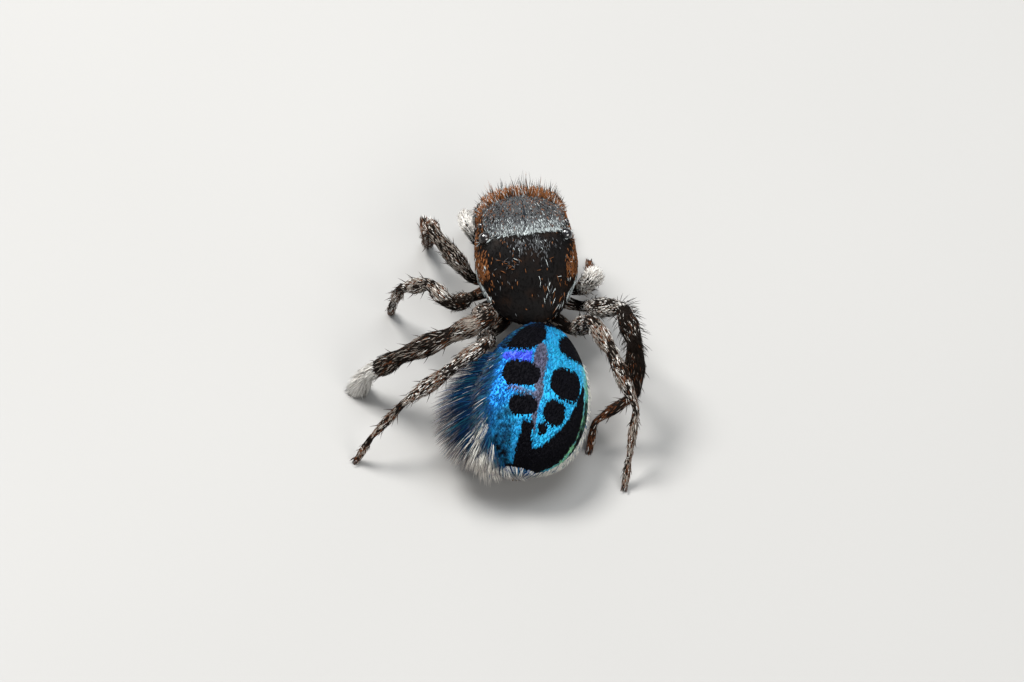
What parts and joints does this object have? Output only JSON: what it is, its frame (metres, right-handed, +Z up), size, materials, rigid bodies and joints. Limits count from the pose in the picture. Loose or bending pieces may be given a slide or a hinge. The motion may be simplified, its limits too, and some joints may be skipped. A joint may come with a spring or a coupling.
{
  "type": "peacock spider figure",
  "caption": "Life-size still figure of a male peacock spider standing on its feet: blunt head with large front eyes, oval blue black-spotted abdomen with a hair fringe, bristled jointed legs.",
  "frame": {"origin": "on the floor, under the middle of the whole figure's bounding box", "axes": "+Z up, +Y where the head points, +X the spider's own right side"},
  "size_m": [0.005, 0.0064, 0.002],
  "materials": {
    "carapace_shell": "satin black chitin",
    "eye": "gloss black",
    "abdomen_scales": "iridescent blue scales with matte black spots",
    "leg_hair": "short hair, grey, brown and black",
    "palp_hair": "white hair",
    "underside_skin": "matte"
  },
  "bodies": {
    "root": {"carapace": "carapace_shell", "eye_front_middle_left": "eye", "eye_front_middle_right": "eye", "eye_front_side_left": "eye", "eye_front_side_right": "eye", "eye_rear_middle_left": "eye", "eye_rear_middle_right": "eye", "eye_rear_side_left": "eye", "eye_rear_side_right": "eye", "sternum": "underside_skin", "chelicera_left": "carapace_shell", "fang_left": "carapace_shell", "palp_femur_left": "palp_hair", "palp_tip_left": "palp_hair", "chelicera_right": "carapace_shell", "fang_right": "carapace_shell", "palp_femur_right": "palp_hair", "palp_tip_right": "palp_hair", "abdomen": "abdomen_scales", "pedicel": "carapace_shell", "spinnerets": "underside_skin", "leg1_left_coxa": "leg_hair", "leg1_left_femur": "leg_hair", "leg1_left_tibia": "leg_hair", "leg1_left_foot": "leg_hair", "leg2_left_coxa": "leg_hair", "leg2_left_femur": "leg_hair", "leg2_left_tibia": "leg_hair", "leg2_left_foot": "leg_hair", "leg3_left_coxa": "leg_hair", "leg3_left_femur": "leg_hair", "leg3_left_tibia": "leg_hair", "leg3_left_foot": "leg_hair", "leg4_left_coxa": "leg_hair", "leg4_left_femur": "leg_hair", "leg4_left_tibia": "leg_hair", "leg4_left_foot": "leg_hair", "leg1_right_coxa": "leg_hair", "leg1_right_femur": "leg_hair", "leg1_right_tibia": "leg_hair", "leg1_right_foot": "leg_hair", "leg2_right_coxa": "leg_hair", "leg2_right_femur": "leg_hair", "leg2_right_tibia": "leg_hair", "leg2_right_foot": "leg_hair", "leg3_right_coxa": "leg_hair", "leg3_right_femur": "leg_hair", "leg3_right_tibia": "leg_hair", "leg3_right_foot": "leg_hair", "leg4_right_coxa": "leg_hair", "leg4_right_femur": "leg_hair", "leg4_right_tibia": "leg_hair", "leg4_right_foot": "leg_hair"}
  },
  "joints": []
}
